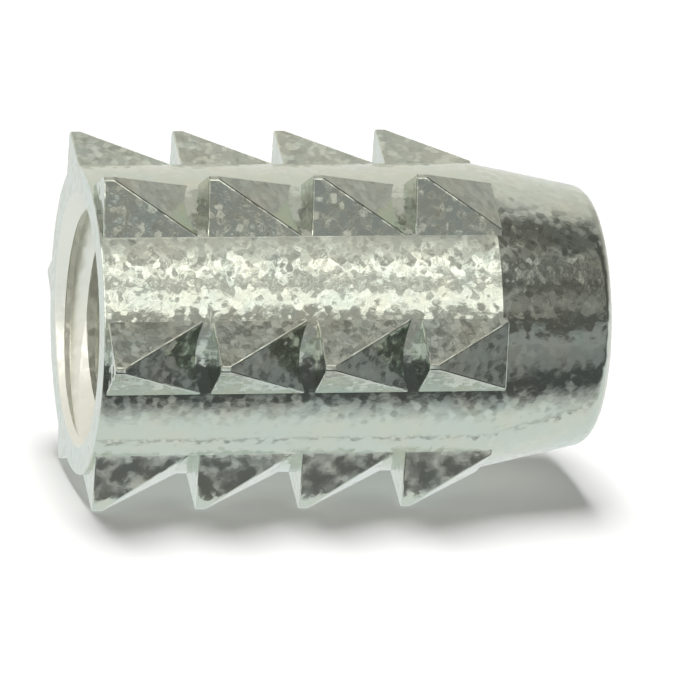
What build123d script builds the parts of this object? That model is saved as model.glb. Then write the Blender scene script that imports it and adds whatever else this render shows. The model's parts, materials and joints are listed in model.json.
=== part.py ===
from build123d import *
import math
import os

# Press-in threaded insert: one cast zinc body with rows of barbs along it, a tapered nose that starts it in
# its hole, and an internal thread from end to end. +X runs along the thread's axis from the open end to the
# nose, and +Z is up with the insert lying on two of its rows. The origin is on the surface that it lies on,
# below its middle. The thread's ridges are left out here: the bore is plain, at the thread's minor diameter.

# Driving dimensions, in millimetres
LENGTH = 13.0              # open end to nose
THREAD_DIAMETER = 6.0      # nominal, coarse metric
THREAD_PITCH = 1.0
WALL = 1.40                # from the bore to the round body, which is a push fit in an 8 mm hole
BARB_ROWS = 6              # rows of barbs around the body
BARB_HEIGHT = 1.05         # a crest above the body
BARB_SETBACK = 0.10        # first steep faces behind the open end
BARB_PITCH = 2.61          # from one steep face to the next
BARB_GAP = 0.24            # body left between a slope's foot and the next steep face
BARB_ROOT_WIDTH = 1.85     # across a barb where its flanks meet the body
CREST_LENGTH = 0.25        # level top of a barb, along the axis
CREST_WIDTH = 0.14         # level top of a barb, across the row
TOE_LENGTH = 0.15          # ledge at the end of a row's last barb, past the start of the nose
NOSE_LENGTH = 3.0          # tapered end
NOSE_DROP = 0.635          # how far the taper would come in by the end face
NOSE_CORNER_RADIUS = 0.45  # round between the taper and the end face
MOUTH_CLEARANCE = 0.15     # countersink at the open end beyond the thread's nominal radius
EXIT_CHAMFER = 0.30        # leg of the chamfer on the bore at the nose

# Derived dimensions
thread_height = 5 / 8 * THREAD_PITCH * math.cos(math.radians(30))  # of a 60 degree thread's ridge
bore_radius = THREAD_DIAMETER / 2 - thread_height
core_radius = bore_radius + WALL
crest_radius = core_radius + BARB_HEIGHT
mouth_radius = THREAD_DIAMETER / 2 + MOUTH_CLEARANCE
mouth_depth = mouth_radius - bore_radius  # of the countersink, whose sides are at 45 degrees
exit_radius = bore_radius + EXIT_CHAMFER
nose_start = LENGTH - NOSE_LENGTH
nose_end_radius = core_radius - NOSE_DROP
nose_corner_radius = min(NOSE_CORNER_RADIUS, nose_end_radius - exit_radius)  # no wider than the end's wall
root_height = math.sqrt(core_radius**2 - (BARB_ROOT_WIDTH / 2) ** 2)  # of a flank's foot above the axis
flank_lean = (BARB_ROOT_WIDTH - CREST_WIDTH) / 2 / (crest_radius - root_height)  # its run over its rise
buried = 0.4 * WALL  # how far a barb reaches into the wall, to be one with it
least_room = BARB_PITCH / 2  # a barb with less body than this to stand on is left out
barbs_per_row = math.ceil((nose_start - BARB_SETBACK - least_room) / BARB_PITCH)
row_angle = 360 / BARB_ROWS
rest_angle = math.radians(row_angle / 2)  # of the two lowest rows from straight down
axis_height = crest_radius * math.cos(rest_angle) + CREST_WIDTH / 2 * math.sin(rest_angle)


def shell():
    """The turned shape: body, tapered nose with a rounded end, and the bore, countersunk at each end."""
    section = Polyline(
        (0, mouth_radius),
        (0, core_radius),
        (nose_start, core_radius),
        (LENGTH, nose_end_radius),
        (LENGTH, exit_radius),
        (LENGTH - EXIT_CHAMFER, bore_radius),
        (mouth_depth, bore_radius),
        close=True,
    )
    half_section = make_face(section)
    nose_corner = half_section.vertices().sort_by(Axis.X)[-2:].sort_by(Axis.Y)[-1]
    return revolve(fillet(nose_corner, nose_corner_radius), Axis.X)


def barb(slope_foot, slope_cut, ledge):
    """A barb of the top row, its steep face at X = 0. Its slope would reach the body at slope_foot.
    It is cut off at slope_cut, and a level ledge of the given length may follow."""
    base = root_height - buried
    fall = (crest_radius - root_height) / (slope_foot - CREST_LENGTH)
    cut_height = crest_radius - fall * (slope_cut - CREST_LENGTH)
    side_points = [
        (0, base),
        (0, crest_radius),
        (CREST_LENGTH, crest_radius),
        (slope_cut, cut_height),
        (slope_cut + ledge, cut_height),
        (slope_cut + ledge, base),
    ]
    side = Polyline(*dict.fromkeys(side_points), close=True)  # with no ledge, two of the points are one
    half_base = BARB_ROOT_WIDTH / 2 + flank_lean * buried
    end = Polyline(
        (-half_base, base),
        (-CREST_WIDTH / 2, crest_radius),
        (CREST_WIDTH / 2, crest_radius),
        (half_base, base),
        close=True,
    )
    along = extrude(Plane.XZ * make_face(side), half_base, both=True)
    return along & extrude(Plane.YZ * make_face(end), slope_cut + ledge)


def barbs():
    """Every barb, in rows at equal angles, turned so that the insert lies on two rows."""
    slope_foot = BARB_PITCH - BARB_GAP
    row = []
    for number in range(barbs_per_row):
        steep_face = BARB_SETBACK + number * BARB_PITCH
        room = nose_start - steep_face
        whole = room >= slope_foot
        shape = barb(slope_foot, slope_foot, 0) if whole else barb(slope_foot, room, TOE_LENGTH)
        row.append(Pos(steep_face, 0, 0) * shape)
    turns = [row_angle * (number + 0.5) for number in range(BARB_ROWS)]
    return [Rot(turn, 0, 0) * solid for turn in turns for solid in row]


insert_body = Pos(-LENGTH / 2, 0, axis_height) * (shell() + barbs())

os.makedirs("parts", exist_ok=True)
export_step(insert_body, "parts/insert_body.step")
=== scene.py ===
import json
import math
import random

import bmesh
import bpy
from bpy.props import FloatProperty, FloatVectorProperty, IntProperty, PointerProperty
from mathutils import Matrix, Vector


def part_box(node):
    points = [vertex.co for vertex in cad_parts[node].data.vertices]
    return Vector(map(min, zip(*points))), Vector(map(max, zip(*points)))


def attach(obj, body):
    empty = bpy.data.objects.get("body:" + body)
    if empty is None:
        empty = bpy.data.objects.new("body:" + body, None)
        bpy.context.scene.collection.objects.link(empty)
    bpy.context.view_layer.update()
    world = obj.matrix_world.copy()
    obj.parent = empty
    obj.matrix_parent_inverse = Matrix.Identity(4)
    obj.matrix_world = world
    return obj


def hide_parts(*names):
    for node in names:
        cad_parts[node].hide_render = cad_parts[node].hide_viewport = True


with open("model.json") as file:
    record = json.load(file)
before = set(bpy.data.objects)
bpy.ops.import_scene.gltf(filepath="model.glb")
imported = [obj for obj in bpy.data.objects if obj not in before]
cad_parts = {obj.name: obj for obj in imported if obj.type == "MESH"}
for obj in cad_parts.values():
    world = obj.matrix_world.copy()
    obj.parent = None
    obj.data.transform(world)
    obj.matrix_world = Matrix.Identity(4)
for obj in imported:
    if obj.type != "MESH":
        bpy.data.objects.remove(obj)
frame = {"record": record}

bl_info = {
    "name": "Press-in threaded insert",
    "version": (1, 0, 0),
    "blender": (4, 5, 0),
    "location": "3D View > Sidebar > Insert",
    "description": "Models a barbed press-in insert with its internal thread, and a plain stage for it",
    "category": "Add Mesh",
}

# The insert is modelled along the X axis with its open end at X = 0, a thousand times its size, because the
# edit and Boolean tools merge points that are closer than the real edges of so small a part. It is brought
# to its real size and place at the end. A size in a group of properties is in metres, as the frame's are.
MODEL_SCALE = 1000
MILLIMETRE = 0.001
SAME_PLACE = 1e-4  # points closer than this count as one, in the modelling scale

LOW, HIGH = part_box("insert_body")
MOUNTS = {mount["name"]: mount for mount in frame["record"]["mounts"]}
THREAD = MOUNTS["thread"]
AXIS_HEIGHT = THREAD["pos_m"][2]
MIDDLE = Vector((0, 0, AXIS_HEIGHT))
BORE_RADIUS = THREAD["dims"]["r_mm"] * MILLIMETRE
CREST_RADIUS = (HIGH.y - LOW.y) / 2

BODY_SEGMENTS = 160
CORNER_STEPS = 10
EDGE_SEGMENTS = 2
THREAD_STEPS = 80  # in one turn
THREAD_SLOPE = math.radians(30)  # of each flank of a 60 degree thread
THREAD_DEPTH = 5 / 8  # of the thread's full triangle, whose height is the pitch times the slope's cosine
THREAD_FLAT = 1 / 8  # of the pitch, the flat bottom of the groove
OVERRUN = 1.5  # turns of the groove past each end
BURIED = 0.4  # of the wall, how far a barb reaches into it
CASTING_SEED = 6
CREST_SPREAD = 0.03  # between the crests of one casting, in the modelling scale
HOLLOW = math.radians(20)  # the least bend of an edge that gets a root fillet
OUTER_SKIN = 0.1  # how deep the outside of the body is taken to reach, in the modelling scale
SMOOTH = math.radians(11)  # a bend flatter than this is shaded smooth
FACE_WEIGHT = 100  # how far large faces lead the shading of small ones


def linear(hex_colour):
    """An sRGB hex value as linear red, green and blue."""
    channels = [int(hex_colour[place:place + 2], 16) / 255 for place in (1, 3, 5)]
    return [c / 12.92 if c <= 0.04045 else ((c + 0.055) / 1.055) ** 2.4 for c in channels]


def length(name, description, default_mm):
    """A length property, its default given in millimetres."""
    return FloatProperty(
        name=name, description=description, default=default_mm * MILLIMETRE,
        min=0, precision=5, subtype="DISTANCE", unit="LENGTH",
    )


def colour(name, description, hex_colour):
    """A colour property, its default given as sRGB hex."""
    return FloatVectorProperty(
        name=name, description=description, default=linear(hex_colour),
        min=0, max=1, size=3, subtype="COLOR",
    )


def angle(name, description, degrees):
    """An angle property, its default given in degrees."""
    return FloatProperty(
        name=name, description=description, default=math.radians(degrees),
        subtype="ANGLE", unit="ROTATION",
    )


class InsertSizes(bpy.types.PropertyGroup):
    """The sizes of the insert that the frame's box and mounts don't give."""

    thread_pitch: length("Thread pitch", "From one turn of the thread to the next", 1.0)
    wall: length("Wall", "From the thread's ridges to the round body", 1.40)
    barb_rows: IntProperty(name="Rows", description="Rows of barbs round the body", default=6, min=2)
    barb_setback: length("Setback", "First steep faces behind the open end", 0.10)
    barb_pitch: length("Barb pitch", "From one steep face to the next", 2.61)
    barb_gap: length("Barb gap", "Body left between a slope's foot and the next steep face", 0.24)
    barb_root_width: length("Root width", "Across a barb where its flanks meet the body", 1.85)
    crest_length: length("Crest length", "Level top of a barb, along the axis", 0.25)
    crest_width: length("Crest width", "Level top of a barb, across the row", 0.14)
    toe_length: length("Toe", "Ledge at the end of a row's last barb", 0.15)
    nose_length: length("Nose length", "Tapered end", 3.0)
    nose_drop: length("Nose drop", "How far the taper would come in by the end face", 0.635)
    nose_corner: length("Nose corner", "Round between the taper and the end face", 0.45)
    mouth_clearance: length("Mouth clearance", "Countersink beyond the thread's nominal radius", 0.15)
    exit_chamfer: length("Exit chamfer", "Leg of the chamfer on the bore at the nose", 0.30)
    thread_start: length("Thread start", "Turns the groove round, as a length along the axis", 0.85)
    edge_round: length("Edge round", "Softening of the cast edges", 0.035)
    root_fillet: length("Root fillet", "Hollow round where a barb meets the body", 0.04)


class ZincFinish(bpy.types.PropertyGroup):
    """The colours and grain of the zinc."""

    zinc_colour: colour("Zinc", "Bright zinc under its clear passivation", "#D0D4C7")
    cool_colour: colour("Cool film", "Where the passivation is thin, a bluish green", "#CAD4CB")
    grain_size: length("Grain", "Across a grain of the cast surface", 0.1)
    grain_relief: length("Relief", "Height of the grains", 0.0038)
    crystal_size: length("Crystal", "Across a crystal of the zinc plating", 0.17)
    crystal_tilt: FloatProperty(
        name="Crystal tilt", description="How far the crystals lean, against an upright of 1",
        default=0.135, min=0,
    )
    film_size: length("Film", "Across a patch of the film", 0.9)
    polish: FloatProperty(name="Roughness", description="Of the cast skin", default=0.16, min=0, max=1)
    tapped_roughness: FloatProperty(
        name="Tapped roughness", description="Of the cut metal", default=0.4, min=0, max=1,
    )
    countersink: length("Countersink", "How far the cut metal reaches past the bore", 0.69)
    cut_edge: length("Cut edge", "Change from cut metal to cast skin", 0.05)
    # Paler partly as bare cut metal and partly as painted light, which brightens the bore that little light
    # reaches.
    tapped_and_painted_light_colour: colour("Tapped metal", "Cut bare in the bore and its countersinks", "#ECEDE4")


class StageSettings(bpy.types.PropertyGroup):
    """The camera, the floor and the lamps."""

    azimuth: angle("Azimuth", "Of the camera round the insert, from the front", -12.7)
    elevation: angle("Elevation", "Of the camera above the floor", 14.8)
    roll: angle("Roll", "Of the camera about its line of sight", 2.65)
    distance: length("Distance", "From the camera to the insert's middle", 180)
    aim_right: FloatProperty(
        name="Aim right", description="Camera's sideways shift", default=0.455 * MILLIMETRE,
        precision=5, subtype="DISTANCE", unit="LENGTH",
    )
    aim_up: FloatProperty(
        name="Aim up", description="Camera's upward shift", default=-0.82 * MILLIMETRE,
        precision=5, subtype="DISTANCE", unit="LENGTH",
    )
    focal_length: FloatProperty(
        name="Focal length", description="In millimetres, on a 36 mm wide sensor", default=368.9, min=1,
    )
    floor_colour: colour("Floor", "White sweep of card", "#F6F6F6")
    floor_lift: FloatProperty(name="Lift", description="Brings the lit card up to white", default=0.08, min=0)
    # The edge of the painted reflection's white and its fade. Only the metal sees them, and the card has no
    # such edge.
    painted_white_edge: length("Card front", "Front edge of the white that the metal reflects", 5.6)
    painted_white_fade: length("Card fade", "Half the change from that white to the dark before it", 1.3)
    # A glowing strip that only metal sees, which paints shade and specks of light into the lowest barbs'
    # flanks.
    painted_shade_strip_height: length("Flag height", "Of the dark strip before the lowest barbs", 1.3)
    painted_shade_strip_length: length("Flag length", "Of that strip", 40)
    painted_shade_strip_distance: length("Flag distance", "Of that strip from the insert's axis", 3.2)


# Selecting and editing


def select_only(*objects):
    """Selects these objects and no others. The last one is active."""
    bpy.ops.object.select_all(action="DESELECT")
    for obj in objects:
        obj.select_set(True)
    bpy.context.view_layer.objects.active = objects[-1]


def select_points(test):
    """In edit mode, selects the points whose place passes the test, with the edges and faces between them."""
    bpy.ops.mesh.select_all(action="DESELECT")
    mesh = bpy.context.edit_object.data
    shape = bmesh.from_edit_mesh(mesh)
    for point in shape.verts:
        point.select_set(test(point.co))
    shape.select_flush(True)
    bmesh.update_edit_mesh(mesh)


def select_edges(test):
    """In edit mode, selects the edges that pass the test, and no others."""
    bpy.ops.mesh.select_all(action="DESELECT")
    bpy.ops.mesh.select_mode(type="EDGE")
    mesh = bpy.context.edit_object.data
    shape = bmesh.from_edit_mesh(mesh)
    for edge in shape.edges:
        edge.select_set(test(edge))
    bmesh.update_edit_mesh(mesh)


def finish_edit():
    """Turns all faces outwards and leaves edit mode."""
    bpy.ops.mesh.select_all(action="SELECT")
    bpy.ops.mesh.normals_make_consistent(inside=False)
    bpy.ops.object.mode_set(mode="OBJECT")


def apply_modifier(obj, kind, **settings):
    """Adds a modifier with these settings and applies it."""
    modifier = obj.modifiers.new(kind.title(), kind)
    for name, value in settings.items():
        setattr(modifier, name, value)
    select_only(obj)
    bpy.ops.object.modifier_apply(modifier=modifier.name)


def combine(obj, tool, operation):
    """Joins the tool's solid to obj, or cuts it away, and deletes the tool."""
    apply_modifier(obj, "BOOLEAN", object=tool, operation=operation, solver="EXACT")
    bpy.data.objects.remove(tool)


# The insert


def model_sizes(sizes):
    """The insert's sizes in the modelling scale, with those that follow from the frame."""
    size = {name: getattr(sizes, name) * MODEL_SCALE for name in sizes.__annotations__ if name != "barb_rows"}
    size["length"] = (HIGH.x - LOW.x) * MODEL_SCALE
    size["bore"] = BORE_RADIUS * MODEL_SCALE
    size["core"] = size["bore"] + size["wall"]
    size["crest"] = CREST_RADIUS * MODEL_SCALE
    size["groove"] = THREAD_DEPTH * size["thread_pitch"] * math.cos(THREAD_SLOPE)
    size["nominal"] = size["bore"] + size["groove"]
    size["mouth"] = size["nominal"] + size["mouth_clearance"]
    size["nose_start"] = size["length"] - size["nose_length"]
    size["slope_foot"] = size["barb_pitch"] - size["barb_gap"]
    size["root"] = math.sqrt(size["core"] ** 2 - (size["barb_root_width"] / 2) ** 2)
    return size


def nose_rings(size):
    """Places and radii of the shell's rings from the start of the nose, round its corner, to the end face."""
    taper = math.atan2(size["nose_drop"], size["nose_length"])
    turn = math.pi / 2 - taper
    tangent = size["nose_corner"] * math.tan(turn / 2)
    end_radius = size["core"] - size["nose_drop"]
    centre_x = size["length"] - size["nose_corner"]
    centre_radius = end_radius - tangent
    rings = []
    for step in range(CORNER_STEPS + 1):
        lean = taper + turn * step / CORNER_STEPS
        x = centre_x + size["nose_corner"] * math.sin(lean)
        rings.append((x, centre_radius + size["nose_corner"] * math.cos(lean)))
    return rings


def turned_shell(size):
    """The round body, nose, end faces and plain bore, as one closed ring of surface."""
    bpy.ops.mesh.primitive_cylinder_add(
        vertices=BODY_SEGMENTS, radius=size["core"], depth=size["nose_start"], end_fill_type="NOTHING",
        location=(size["nose_start"] / 2, 0, 0), rotation=(0, math.pi / 2, 0),
    )
    shell = bpy.context.object
    bpy.ops.object.transform_apply(location=True, rotation=True, scale=True)
    bpy.ops.object.mode_set(mode="EDIT")
    bpy.ops.mesh.select_mode(type="VERT")
    mouth_depth = size["mouth"] - size["bore"]
    exit_radius = size["bore"] + size["exit_chamfer"]
    nose_side = [
        *nose_rings(size),
        (size["length"], exit_radius),
        (size["length"] - size["exit_chamfer"], size["bore"]),
    ]
    mouth_side = [(0, size["mouth"]), (mouth_depth, size["bore"])]
    for start, rings in ((size["nose_start"], nose_side), (0, mouth_side)):
        select_points(lambda place: abs(place.x - start) < SAME_PLACE)
        x, radius = start, size["core"]
        for next_x, next_radius in rings:
            bpy.ops.mesh.extrude_edges_move(TRANSFORM_OT_translate={"value": (next_x - x, 0, 0)})
            shrink = next_radius / radius
            bpy.ops.transform.resize(value=(1, shrink, shrink), center_override=(next_x, 0, 0))
            x, radius = next_x, next_radius
    bpy.ops.mesh.select_mode(type="EDGE")
    bpy.ops.mesh.select_all(action="DESELECT")
    bpy.ops.mesh.select_non_manifold()
    bpy.ops.mesh.bridge_edge_loops()
    rim_radii = (size["core"], size["mouth"])

    def on_rim(edge):
        """True for the open end's inner and outer edges."""
        ends = [(point.co.x, math.hypot(point.co.y, point.co.z)) for point in edge.verts]
        return all(
            abs(x) < SAME_PLACE and min(abs(r - rim) for rim in rim_radii) < SAME_PLACE for x, r in ends
        )

    select_edges(on_rim)
    bpy.ops.mesh.bevel(offset=size["edge_round"], segments=EDGE_SEGMENTS, affect="EDGES")
    finish_edit()
    return shell


def barb(size, number, crest):
    """One barb of the row on top, in its place along the body, with its crest at this radius."""
    steep_face = size["barb_setback"] + number * size["barb_pitch"]
    room = size["nose_start"] - steep_face
    whole = room >= size["slope_foot"]
    end = steep_face + (size["slope_foot"] if whole else room + size["toe_length"])
    base = size["root"] - BURIED * size["wall"]
    lean = (size["barb_root_width"] - size["crest_width"]) / 2 / (crest - size["root"])
    half_base = size["barb_root_width"] / 2 + lean * (size["root"] - base)
    bpy.ops.mesh.primitive_cube_add(
        size=1, location=((steep_face + end) / 2, 0, (base + crest) / 2),
        scale=(end - steep_face, 2 * half_base, crest - base),
    )
    solid = bpy.context.object
    bpy.ops.object.transform_apply(location=True, rotation=True, scale=True)
    slope_start = steep_face + size["crest_length"]
    fall = (crest - size["root"]) / (size["slope_foot"] - size["crest_length"])
    cuts = [
        ((slope_start, 0, crest), (fall, 0, 1)),
        ((0, size["crest_width"] / 2, crest), (0, 1, lean)),
        ((0, -size["crest_width"] / 2, crest), (0, -1, lean)),
    ]
    bpy.ops.object.mode_set(mode="EDIT")
    bpy.ops.mesh.select_mode(type="VERT")
    for place, normal in cuts:
        bpy.ops.mesh.select_all(action="SELECT")
        bpy.ops.mesh.bisect(plane_co=place, plane_no=normal, use_fill=True, clear_outer=True)
    select_edges(lambda edge: max(point.co.z for point in edge.verts) > base + SAME_PLACE)
    bpy.ops.mesh.bevel(offset=size["edge_round"], segments=EDGE_SEGMENTS, affect="EDGES")
    finish_edit()
    return solid


def all_barbs(size, rows):
    """Every barb of every row, joined into one mesh. Castings differ a little, so no two crests are level."""
    chance = random.Random(CASTING_SEED)
    least_room = size["barb_pitch"] / 2  # a barb with less body than this to stand on is left out
    per_row = math.ceil((size["nose_start"] - size["barb_setback"] - least_room) / size["barb_pitch"])
    solids = []
    for row in range(rows):
        for number in range(per_row):
            crest = size["crest"] - chance.uniform(0, CREST_SPREAD)
            solid = barb(size, number, crest)
            solid.rotation_euler.x = 2 * math.pi * (row + 0.5) / rows
            solids.append(solid)
    select_only(*solids)
    bpy.ops.object.transform_apply(location=True, rotation=True, scale=True)
    bpy.ops.object.join()
    return bpy.context.object


def round_roots(body, size):
    """Fillets the hollow edges where the barbs meet the body, as in any casting."""
    select_only(body)
    bpy.ops.object.mode_set(mode="EDIT")

    def at_foot(edge):
        """True for a hollow edge on the outside of the body."""
        outside = all(math.hypot(p.co.y, p.co.z) > size["core"] - OUTER_SKIN for p in edge.verts)
        return outside and len(edge.link_faces) == 2 and edge.calc_face_angle_signed() < -HOLLOW

    select_edges(at_foot)
    bpy.ops.mesh.bevel(
        offset=size["root_fillet"], segments=EDGE_SEGMENTS, affect="EDGES", clamp_overlap=True,
    )
    finish_edit()


def thread_groove(size):
    """The helical groove of a right-hand thread, as a closed solid that runs out past both ends."""
    overrun = OVERRUN * size["thread_pitch"]
    inner = size["bore"] - size["groove"] / 4  # a little inside the bore, so that the cut is clean
    outer = size["nominal"]
    root_width = THREAD_FLAT * size["thread_pitch"]
    inner_width = root_width + 2 * (outer - inner) * math.tan(THREAD_SLOPE)
    first_turn = -overrun + size["thread_start"]
    bpy.ops.mesh.primitive_plane_add(size=1, location=(first_turn, (inner + outer) / 2, 0))
    groove = bpy.context.object
    groove.scale = (inner_width, outer - inner, 1)
    bpy.ops.object.transform_apply(location=True, rotation=True, scale=True)
    bpy.ops.object.mode_set(mode="EDIT")
    bpy.ops.mesh.select_mode(type="VERT")
    select_points(lambda place: place.y > (inner + outer) / 2)
    narrowing = root_width / inner_width
    bpy.ops.transform.resize(value=(narrowing, 1, 1), center_override=(first_turn, outer, 0))
    bpy.ops.mesh.select_all(action="SELECT")
    bpy.ops.mesh.delete(type="ONLY_FACE")
    bpy.ops.object.mode_set(mode="OBJECT")
    turns = math.ceil((size["length"] + 2 * overrun) / size["thread_pitch"])
    apply_modifier(
        groove, "SCREW", axis="X", angle=2 * math.pi, screw_offset=size["thread_pitch"], iterations=turns,
        steps=THREAD_STEPS, render_steps=THREAD_STEPS, use_merge_vertices=False,
    )
    bpy.ops.object.mode_set(mode="EDIT")
    bpy.ops.mesh.select_all(action="SELECT")
    bpy.ops.mesh.fill_holes(sides=4)
    finish_edit()
    return groove


def to_place(obj):
    """Brings the finished model to its real size and place, with both in its mesh."""
    obj.scale = [1 / MODEL_SCALE] * 3
    obj.location = (LOW.x, 0, AXIS_HEIGHT)
    select_only(obj)
    bpy.ops.object.transform_apply(location=True, rotation=True, scale=True)


# The zinc


def add_node(tree, kind, settings=None, **inputs):
    """Adds a node. Settings are the node's own properties. An input is a value, or an output to link to it.
    Inputs go by name, with _ for a space, or by place, as _0. A Mix node takes a share at _0, and then
    numbers at _2 and _3 or colours at _6 and _7, which come out at 0 or 2."""
    node = tree.nodes.new(kind)
    for name, value in (settings or {}).items():
        setattr(node, name, value)
    for name, value in inputs.items():
        socket = node.inputs[int(name[1:])] if name[0] == "_" else node.inputs[name.replace("_", " ")]
        if isinstance(value, bpy.types.NodeSocket):
            tree.links.new(value, socket)
        else:
            socket.default_value = value
    return node


def new_material(name):
    """A material with no nodes, and its node tree."""
    material = bpy.data.materials.new(name)
    material.use_nodes = True
    material.node_tree.nodes.clear()
    return material, material.node_tree


def cast_zinc(finish):
    """Zinc alloy, die cast and zinc plated with a clear passivation: a bright grey metal, sparkling with fine
    grains, under a thin film that tints it bluish green in places. In the bore and its countersinks the metal
    is cut bare, so it is duller there. It is also paler there, partly as bare metal and partly as painted
    light that brightens the deep bore."""
    material, tree = new_material("die_cast_zinc_clear_passivated")
    place = add_node(tree, "ShaderNodeTexCoord").outputs["Object"]
    film = add_node(
        tree, "ShaderNodeTexNoise", Vector=place, Scale=1 / finish.film_size, Detail=2.0, Roughness=0.5,
    )
    film_share = add_node(tree, "ShaderNodeMapRange", Value=film.outputs["Fac"], From_Min=0.34, From_Max=0.7)
    skin_colour = add_node(
        tree, "ShaderNodeMix", {"data_type": "RGBA"}, _0=film_share.outputs["Result"],
        _6=[*finish.zinc_colour, 1], _7=[*finish.cool_colour, 1],
    )
    from_axis = add_node(
        tree, "ShaderNodeVectorMath", {"operation": "MULTIPLY_ADD"}, _0=place, _1=(0, 1, 1),
        _2=(0, 0, -AXIS_HEIGHT),
    )
    radius = add_node(tree, "ShaderNodeVectorMath", {"operation": "LENGTH"}, _0=from_axis.outputs[0])
    cut_radius = BORE_RADIUS + finish.countersink
    cut = add_node(
        tree, "ShaderNodeMapRange", Value=radius.outputs["Value"], From_Min=cut_radius,
        From_Max=cut_radius + finish.cut_edge, To_Min=1.0, To_Max=0.0,
    ).outputs["Result"]
    # Paler in the bore and countersinks, partly as cut metal and partly as painted light.
    metal_colour = add_node(
        tree, "ShaderNodeMix", {"data_type": "RGBA"}, _0=cut, _6=skin_colour.outputs[2],
        _7=[*finish.tapped_and_painted_light_colour, 1],
    )
    roughness = add_node(
        tree, "ShaderNodeMix", {"data_type": "FLOAT"}, _0=cut, _2=finish.polish, _3=finish.tapped_roughness,
    )
    # Crystals lean at random from the surface. They are drawn some times too coarse, so that they show.
    crystals = add_node(
        tree, "ShaderNodeTexVoronoi", {"feature": "SMOOTH_F1"}, Vector=place, Scale=1 / finish.crystal_size,
        Smoothness=0.6,
    )
    lean = add_node(
        tree, "ShaderNodeVectorMath", {"operation": "SUBTRACT"}, _0=crystals.outputs["Color"],
        _1=(0.5, 0.5, 0.5),
    )
    tilted = add_node(
        tree, "ShaderNodeVectorMath", {"operation": "MULTIPLY_ADD"}, _0=lean.outputs[0],
        _1=[finish.crystal_tilt] * 3, _2=add_node(tree, "ShaderNodeNewGeometry").outputs["Normal"],
    )
    facet = add_node(tree, "ShaderNodeVectorMath", {"operation": "NORMALIZE"}, _0=tilted.outputs[0])
    grain = add_node(
        tree, "ShaderNodeTexNoise", Vector=place, Scale=1 / finish.grain_size, Detail=2.0, Roughness=0.55,
    )
    bump = add_node(
        tree, "ShaderNodeBump", Height=grain.outputs["Fac"], Distance=finish.grain_relief, Strength=1.0,
        Normal=facet.outputs[0],
    )
    metal = add_node(
        tree, "ShaderNodeBsdfPrincipled", Base_Color=metal_colour.outputs[2], Metallic=1.0,
        Roughness=roughness.outputs[0], Normal=bump.outputs["Normal"],
    )
    add_node(tree, "ShaderNodeOutputMaterial", Surface=metal.outputs["BSDF"])
    return material


# The stage

WHITE = [1, 1, 1, 1]
WARM_LIGHT = [1.03, 1, 0.94, 1]
COOL_LIGHT = [0.97, 1, 1, 1]
FLOOR_SIZE = 2
CLIP_RANGE = (0.01, 10)

# How bright the floor's painted reflection is: a glowing pattern that only the metal sees, in place of the
# lit card. A row has a name, the axis along which the level changes, where the change starts and ends in
# millimetres, and the levels there.
PAINTED_REFLECTION_LEVELS = (
    # The dark before the card is painted, a part of the painted reflection.
    ("far_floor", "Y", -14, -20, 0.0, 0.9),  # past the dark before the card, which brightens the steep faces
    ("far_fade", "Y", -30, -70, 1.0, 0.3),  # dimmer towards the room's end
    ("far_side", "X", 3, 9, 1.0, 0.1),  # none of it in the nose
    ("beside_nose", "X", 5, 10, 0.0, 0.2),  # grey, for the slopes of the front barbs
    ("beside_front", "Y", -7.5, -9.5, 0.0, 1.0),
)
# Levels of the painted reflection: dark before its painted edge, and white.
PAINTED_REFLECTION_DARK, PAINTED_REFLECTION_WHITE = 0.09, 0.9
# Where along X the painted reflection's edge starts and ends to come in at the nose, and by how much, in
# millimetres
NOSE_SHIFT = (5, 7.5, 0.0, -1.1)

# How bright the room is by direction. A row has a name, an axis of the direction, where along it the level
# starts and stops changing, and the levels there.
ROOM_LEVELS = (
    ("back", "Y", 0.0, 0.5, 0.1, 0.87),
    ("back_right", "X", 0.3, 0.8, 1.0, 0.5),
    ("left_board", "X", -0.3, -0.8, 0.1, 0.9),
    ("board_tops", "Z", 0.74, 0.97, 1.0, 0.3),
    ("window_front", "Y", 0.0, -0.3, 0.0, 1.32),
    ("window_right", "X", 0.3, 0.56, 1.0, 0.15),
    ("window_sill", "Z", 0.03, 0.3, 0.28, 1.0),
    ("window_head", "Z", 0.76, 0.96, 1.0, 0.28),
    ("ceiling_edge", "Z", 0.6, 0.9, 0.0, 0.37),
    ("ceiling_right", "X", 0.7, 0.3, 0.25, 1.0),
)
# How they go together, in order. A row has the new level's name, the operation, and the two that it joins.
ROOM_STEPS = (
    ("back_board", "MULTIPLY", "back", "back_right"),
    ("full_boards", "MAXIMUM", "back_board", "left_board"),
    ("boards", "MULTIPLY", "full_boards", "board_tops"),
    ("window", "MULTIPLY", "window_front", "window_right"),
    ("above_sill", "MULTIPLY", "window", "window_sill"),
    ("whole_window", "MULTIPLY", "above_sill", "window_head"),
    ("ceiling", "MULTIPLY", "ceiling_edge", "ceiling_right"),
    ("clear_light", "MAXIMUM", "whole_window", "ceiling"),
    ("broken_light", "MULTIPLY", "clear_light", "leaves"),
    ("room", "MAXIMUM", "boards", "broken_light"),
    ("shown_room", "MULTIPLY", "room", "matt_share"),
)

# Azimuth and elevation in degrees, distance and size in metres, and radiance
SOFT_BOXES = {
    "overhead_soft_box": (180, 83, 0.3, (0.09, 0.2), 15.8),
    "side_soft_box": (-77, 24, 0.3, (0.05, 0.1), 4.5),
}


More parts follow.
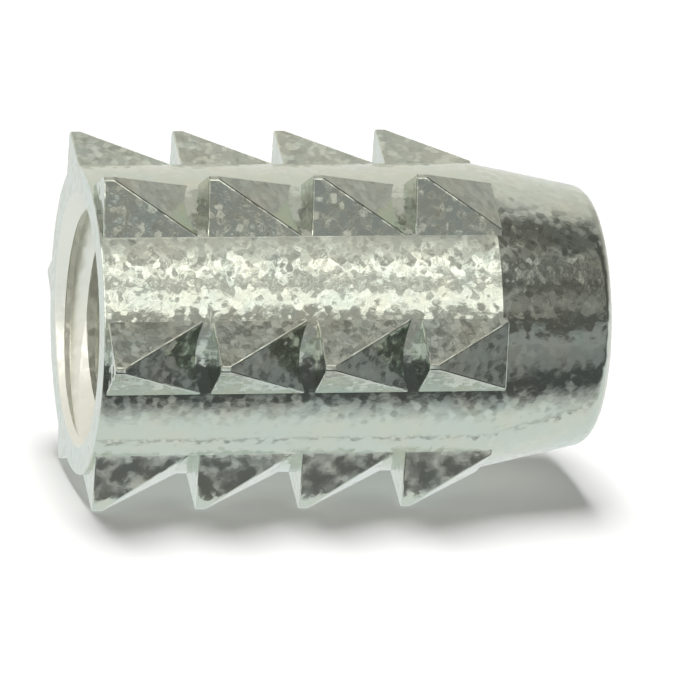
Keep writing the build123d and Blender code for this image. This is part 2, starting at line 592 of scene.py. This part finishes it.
def white_card_and_painted_reflection(stage):
    """Matt white card, which shows as white with the insert's shadow on it. Metal sees a painted reflection
    instead
    of the lit card, a glowing pattern: white beside and behind the insert, and dim in front, past a painted
    edge."""
    material, tree = new_material("matt_white_card_and_painted_reflection")
    seen = add_node(tree, "ShaderNodeLightPath").outputs
    place = add_node(tree, "ShaderNodeTexCoord").outputs["Object"]
    axes = add_node(tree, "ShaderNodeSeparateXYZ", Vector=place).outputs
    level = {}
    for name, axis, start, end, low, high in PAINTED_REFLECTION_LEVELS:
        level[name] = add_node(
            tree, "ShaderNodeMapRange", Value=axes[axis], From_Min=start * MILLIMETRE,
            From_Max=end * MILLIMETRE, To_Min=low, To_Max=high,
        ).outputs["Result"]
    start, end, low, high = [value * MILLIMETRE for value in NOSE_SHIFT]
    shift = add_node(
        tree, "ShaderNodeMapRange", Value=axes["X"], From_Min=start, From_Max=end, To_Min=low, To_Max=high,
    )
    shifted = add_node(tree, "ShaderNodeMath", {"operation": "ADD"}, _0=axes["Y"], _1=shift.outputs["Result"])
    # The painted reflection's edge: white behind it and dim before it.
    near = add_node(
        tree, "ShaderNodeMapRange", Value=shifted.outputs[0], From_Min=-stage.painted_white_edge - stage.painted_white_fade,
        From_Max=-stage.painted_white_edge + stage.painted_white_fade, To_Min=PAINTED_REFLECTION_DARK, To_Max=PAINTED_REFLECTION_WHITE,
    )
    grey = add_node(
        tree, "ShaderNodeMath", {"operation": "MULTIPLY"}, _0=level["beside_nose"], _1=level["beside_front"],
    )
    far_share = add_node(
        tree, "ShaderNodeMath", {"operation": "MULTIPLY"}, _0=level["far_fade"], _1=level["far_side"],
    )
    far = add_node(
        tree, "ShaderNodeMath", {"operation": "MULTIPLY_ADD"}, _0=level["far_floor"], _1=far_share.outputs[0],
        _2=grey.outputs[0],
    )
    total = add_node(
        tree, "ShaderNodeMath", {"operation": "ADD"}, _0=near.outputs["Result"], _1=far.outputs[0],
    )
    painted_reflection_level = add_node(tree, "ShaderNodeMath", {"operation": "MINIMUM"}, _0=total.outputs[0], _1=PAINTED_REFLECTION_WHITE)
    # The painted reflection: a glow that only glossy rays see, in place of the lit card.
    painted_reflection = add_node(tree, "ShaderNodeEmission", Color=COOL_LIGHT, Strength=painted_reflection_level.outputs[0])
    card = add_node(tree, "ShaderNodeBsdfDiffuse", Color=[*stage.floor_colour, 1])
    lift = add_node(
        tree, "ShaderNodeMath", {"operation": "MULTIPLY"}, _0=seen["Is Camera Ray"], _1=stage.floor_lift,
    )
    glow = add_node(tree, "ShaderNodeEmission", Color=WHITE, Strength=lift.outputs[0])
    lit = add_node(tree, "ShaderNodeAddShader", _0=card.outputs[0], _1=glow.outputs[0])
    both = add_node(
        tree, "ShaderNodeMixShader", _0=seen["Is Glossy Ray"], _1=lit.outputs[0], _2=painted_reflection.outputs[0],
    )
    add_node(tree, "ShaderNodeOutputMaterial", Surface=both.outputs[0])
    return material


def painted_shade_strip_material(height):
    """A glowing grey strip with blurred light spots: painted shade with painted glints, which give specks to
    the flanks that show it. Its top fades to the painted reflection's white, so its edge doesn't show as a
    line."""
    spot, darkest, lightest, top = 0.45 * MILLIMETRE, 0.16, 0.62, 0.85
    fade_start, fade_end = height / 2 - 0.23 * MILLIMETRE, height / 2
    material, tree = new_material("painted_shade_strip_glow")
    place = add_node(tree, "ShaderNodeTexCoord").outputs["Object"]
    spots = add_node(tree, "ShaderNodeTexNoise", Vector=place, Scale=1 / spot, Detail=1.0)
    level = add_node(
        tree, "ShaderNodeMapRange", Value=spots.outputs["Fac"], From_Min=0.46, From_Max=0.7,
        To_Min=darkest, To_Max=lightest,
    )
    up = add_node(tree, "ShaderNodeSeparateXYZ", Vector=place).outputs["Y"]
    fade = add_node(tree, "ShaderNodeMapRange", Value=up, From_Min=fade_start, From_Max=fade_end)
    shown = add_node(
        tree, "ShaderNodeMix", {"data_type": "FLOAT"}, _0=fade.outputs["Result"], _2=level.outputs["Result"],
        _3=top,
    )
    painted_glow = add_node(tree, "ShaderNodeEmission", Color=WHITE, Strength=shown.outputs[0])
    add_node(tree, "ShaderNodeOutputMaterial", Surface=painted_glow.outputs[0])
    return material


def add_painted_shade_strip(stage):
    """A low glowing strip before the lowest barbs, which paints shade into their flanks as a reflection. Only
    metal shows it.
    """
    bpy.ops.mesh.primitive_plane_add(
        size=1, location=(0, -stage.painted_shade_strip_distance, stage.painted_shade_strip_height / 2), rotation=(math.pi / 2, 0, 0),
    )
    painted_shade_strip = bpy.context.object
    painted_shade_strip.name = "painted_shade_strip"
    painted_shade_strip.scale = (stage.painted_shade_strip_length, stage.painted_shade_strip_height, 1)
    bpy.ops.object.transform_apply(location=False, rotation=False, scale=True)
    for kind in ("camera", "shadow", "diffuse", "transmission"):
        setattr(painted_shade_strip, "visible_" + kind, False)
    painted_shade_strip.data.materials.append(painted_shade_strip_material(stage.painted_shade_strip_height))


def studio_world():
    """A dim room with white boards behind the insert and beyond its open end, a pale ceiling, and in front a
    window broken up by leaves, which makes the metal's grain sparkle. The background itself is white."""
    world = bpy.data.worlds.new("studio")
    bpy.context.scene.world = world
    world.use_nodes = True
    tree = world.node_tree
    tree.nodes.clear()
    seen = add_node(tree, "ShaderNodeLightPath").outputs
    direction = add_node(tree, "ShaderNodeTexCoord").outputs["Generated"]
    axes = add_node(tree, "ShaderNodeSeparateXYZ", Vector=direction).outputs
    level = {}
    for name, axis, start, end, low, high in ROOM_LEVELS:
        level[name] = add_node(
            tree, "ShaderNodeMapRange", {"interpolation_type": "SMOOTHSTEP"}, Value=axes[axis],
            From_Min=start, From_Max=end, To_Min=low, To_Max=high,
        ).outputs["Result"]
    leaf_noise = add_node(tree, "ShaderNodeTexNoise", Vector=direction, Scale=7.0, Detail=1.0)
    level["leaves"] = add_node(
        tree, "ShaderNodeMapRange", Value=leaf_noise.outputs["Fac"], From_Min=0.42, From_Max=0.58,
        To_Min=0.3, To_Max=1.8,
    ).outputs["Result"]
    level["matt_share"] = add_node(
        tree, "ShaderNodeMapRange", Value=seen["Is Diffuse Ray"], To_Min=1.0, To_Max=0.2,
    ).outputs["Result"]
    for name, operation, first, second in ROOM_STEPS:
        level[name] = add_node(
            tree, "ShaderNodeMath", {"operation": operation}, _0=level[first], _1=level[second],
        ).outputs[0]
    strength = add_node(
        tree, "ShaderNodeMix", {"data_type": "FLOAT"}, _0=seen["Is Camera Ray"], _2=level["shown_room"],
        _3=1.0,
    )
    tone = add_node(
        tree, "ShaderNodeMix", {"data_type": "RGBA"}, _0=seen["Is Camera Ray"], _6=WARM_LIGHT, _7=WHITE,
    )
    background = add_node(tree, "ShaderNodeBackground", Color=tone.outputs[2], Strength=strength.outputs[0])
    add_node(tree, "ShaderNodeOutputWorld", Surface=background.outputs[0])


def outward(azimuth, elevation):
    """The direction away from the insert at these angles, the azimuth counted round from the front."""
    level = math.cos(elevation)
    return Vector((math.sin(azimuth) * level, -math.cos(azimuth) * level, math.sin(elevation)))


def soft_box(name):
    """A rectangle of soft light that faces the insert, evenly bright."""
    azimuth, elevation, distance, size, radiance = SOFT_BOXES[name]
    away = outward(math.radians(azimuth), math.radians(elevation))
    bpy.ops.object.light_add(type="AREA", location=MIDDLE + away * distance)
    lamp = bpy.context.object
    lamp.name = name
    lamp.rotation_euler = away.to_track_quat("Z", "Y").to_euler()
    lamp.data.shape = "RECTANGLE"
    lamp.data.size, lamp.data.size_y = size
    lamp.data.energy = radiance * math.pi * size[0] * size[1]
    return lamp


def add_camera(stage):
    """A long lens, low and a little to the open end's side, rolled slightly."""
    back = outward(stage.azimuth, stage.elevation)
    level_right = Vector((math.cos(stage.azimuth), math.sin(stage.azimuth), 0))
    level_up = back.cross(level_right)
    right = level_right * math.cos(stage.roll) + level_up * math.sin(stage.roll)
    up = level_up * math.cos(stage.roll) - level_right * math.sin(stage.roll)
    location = MIDDLE + back * stage.distance + right * stage.aim_right + up * stage.aim_up
    turn = Matrix((right, up, back)).transposed()
    bpy.ops.object.camera_add(location=location, rotation=turn.to_euler())
    camera = bpy.context.object
    camera.data.lens = stage.focal_length
    camera.data.clip_start, camera.data.clip_end = CLIP_RANGE
    bpy.context.scene.camera = camera


class INSERT_OT_insert_body(bpy.types.Operator):
    """Model the whole insert: round body, nose, barbs and internal thread"""

    bl_idname = "insert.insert_body"
    bl_label = "Insert"

    def execute(self, context):
        size = model_sizes(context.scene.insert_sizes)
        bpy.ops.object.select_all(action="DESELECT")
        body = turned_shell(size)
        combine(body, all_barbs(size, context.scene.insert_sizes.barb_rows), "UNION")
        round_roots(body, size)
        combine(body, thread_groove(size), "DIFFERENCE")
        to_place(body)
        bpy.ops.object.shade_smooth_by_angle(angle=SMOOTH)
        apply_modifier(body, "WEIGHTED_NORMAL", keep_sharp=True, weight=FACE_WEIGHT)
        body.name = body.data.name = "insert"
        body.data.materials.clear()
        body.data.materials.append(cast_zinc(context.scene.zinc_finish))
        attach(body, "root")
        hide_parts("insert_body")
        return {"FINISHED"}


class INSERT_OT_stage(bpy.types.Operator):
    """Add the white floor, the lamps and the camera"""

    bl_idname = "insert.stage"
    bl_label = "Stage"

    def execute(self, context):
        settings = context.scene.stage_settings
        bpy.ops.object.select_all(action="DESELECT")
        bpy.ops.mesh.primitive_plane_add(size=FLOOR_SIZE)
        floor = bpy.context.object
        floor.name = "floor"
        floor.data.materials.append(white_card_and_painted_reflection(settings))
        studio_world()
        add_painted_shade_strip(settings)
        soft_box("overhead_soft_box").visible_glossy = False
        soft_box("side_soft_box").visible_diffuse = False
        add_camera(settings)
        context.scene.view_settings.view_transform = "Standard"
        return {"FINISHED"}


class INSERT_PT_panel(bpy.types.Panel):
    """The insert's operators and sizes"""

    bl_label = "Threaded insert"
    bl_idname = "INSERT_PT_panel"
    bl_space_type = "VIEW_3D"
    bl_region_type = "UI"
    bl_category = "Insert"

    def draw(self, context):
        layout = self.layout
        for operator in (INSERT_OT_insert_body, INSERT_OT_stage):
            layout.operator(operator.bl_idname)
        for group in (context.scene.insert_sizes, context.scene.zinc_finish, context.scene.stage_settings):
            for name in group.__annotations__:
                layout.prop(group, name)


CLASSES = (
    InsertSizes, ZincFinish, StageSettings, INSERT_OT_insert_body, INSERT_OT_stage, INSERT_PT_panel,
)


def register():
    """Registers the classes and their settings on the scene."""
    for cls in CLASSES:
        bpy.utils.register_class(cls)
    bpy.types.Scene.insert_sizes = PointerProperty(type=InsertSizes)
    bpy.types.Scene.zinc_finish = PointerProperty(type=ZincFinish)
    bpy.types.Scene.stage_settings = PointerProperty(type=StageSettings)


def unregister():
    """Takes them away again."""
    del bpy.types.Scene.stage_settings
    del bpy.types.Scene.zinc_finish
    del bpy.types.Scene.insert_sizes
    for cls in reversed(CLASSES):
        bpy.utils.unregister_class(cls)


def main():
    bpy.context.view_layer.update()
    register()
    bpy.ops.insert.insert_body()
    bpy.ops.insert.stage()
    bpy.context.view_layer.update()


if __name__ == "__main__":
    main()
